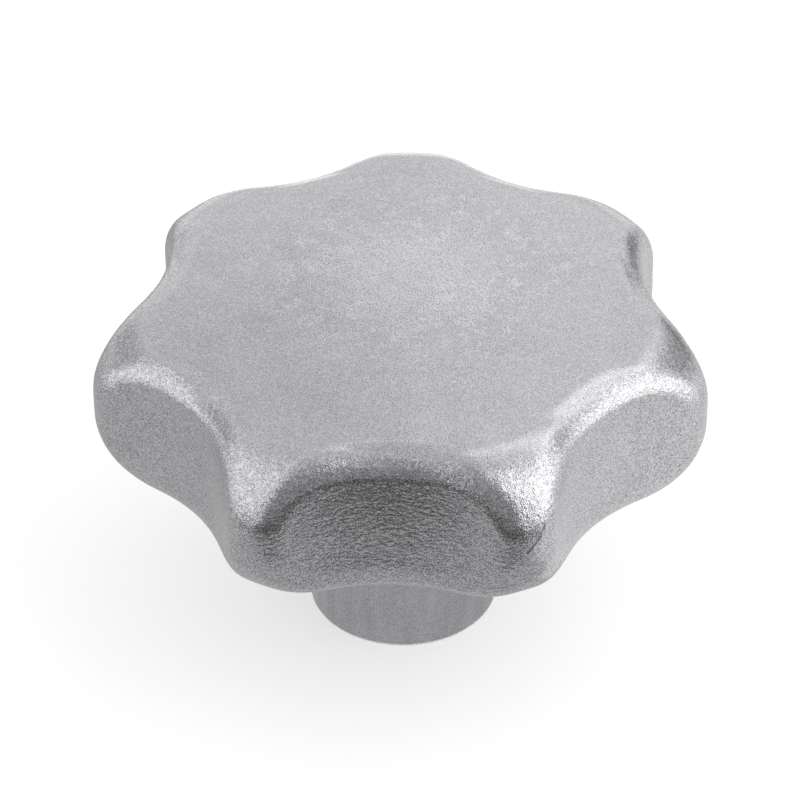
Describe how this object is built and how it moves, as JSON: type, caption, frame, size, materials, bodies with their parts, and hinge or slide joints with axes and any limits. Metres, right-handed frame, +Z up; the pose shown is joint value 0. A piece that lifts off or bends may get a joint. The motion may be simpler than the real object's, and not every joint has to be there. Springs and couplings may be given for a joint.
{
  "type": "star knob",
  "caption": "Cast metal star knob with a lobed, closed-top head on a plain round hub with a blind tapped hole, turned by hand to clamp a threaded stud.",
  "frame": {"origin": "centre of the hub's flat end face, on the tapped hole's axis", "axes": "+Z up the tapped hole's axis from the hub to the crowned top of the head; a finger recess faces -Y and a lobe faces +Y"},
  "size_m": [0.0784, 0.0768, 0.0489],
  "materials": {
    "cast_metal": "cast and tumbled, matt"
  },
  "bodies": {
    "root": {"knob_casting": "cast_metal"}
  },
  "joints": []
}
